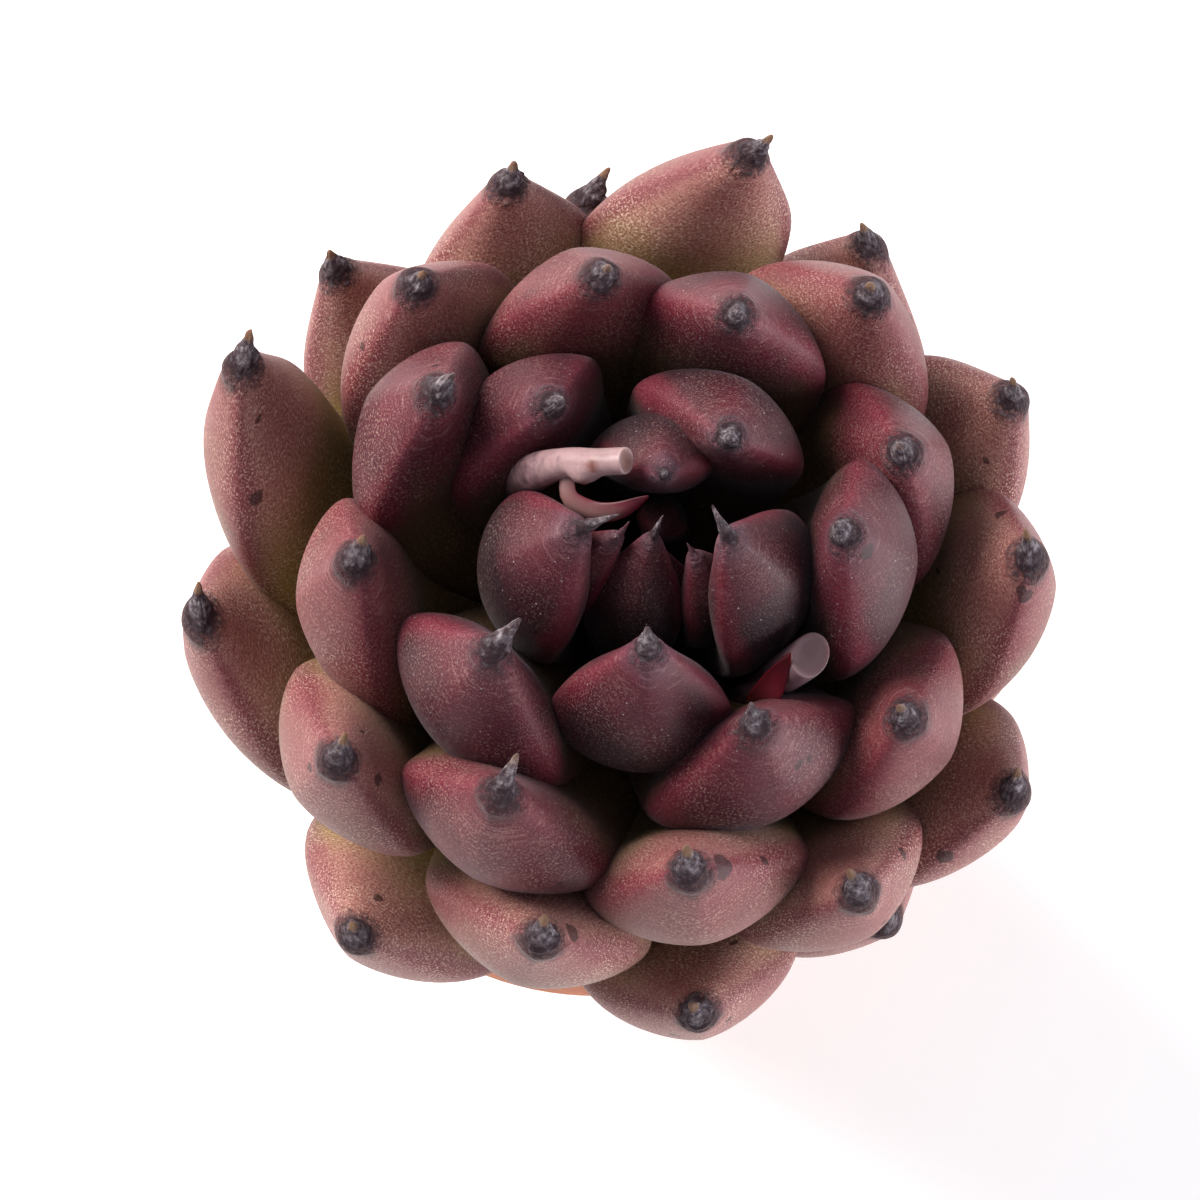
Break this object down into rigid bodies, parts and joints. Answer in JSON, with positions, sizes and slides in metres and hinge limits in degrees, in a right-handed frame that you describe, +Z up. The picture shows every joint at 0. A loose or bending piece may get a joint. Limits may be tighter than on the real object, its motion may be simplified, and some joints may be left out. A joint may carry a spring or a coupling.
{
  "type": "potted black queen echeveria",
  "caption": "Small succulent rosette of thick incurved leaves with dark tips, on a short woody stem in soil, in a tapered clay pot with a rim band.",
  "frame": {"origin": "middle of the pot's foot, on the surface that the pot stands on, under the middle of the object's box", "axes": "+Z up along the pot's axis; in the picture's view the camera looks along +Y and steeply down"},
  "size_m": [0.0568, 0.056, 0.0839],
  "materials": {
    "clay": "matte unglazed terracotta",
    "soil": "matte granular potting mix",
    "stem": "matte corky bark",
    "leaf": "waxy satin leaf skin, dusty mauve to burgundy",
    "stalk": "satin fresh stalk, pale pink"
  },
  "bodies": {
    "root": {"pot": "clay", "soil": "soil", "stem": "stem", "rosette": "leaf", "flower_stalk_left": "stalk", "flower_stalk_right": "stalk"}
  },
  "joints": []
}
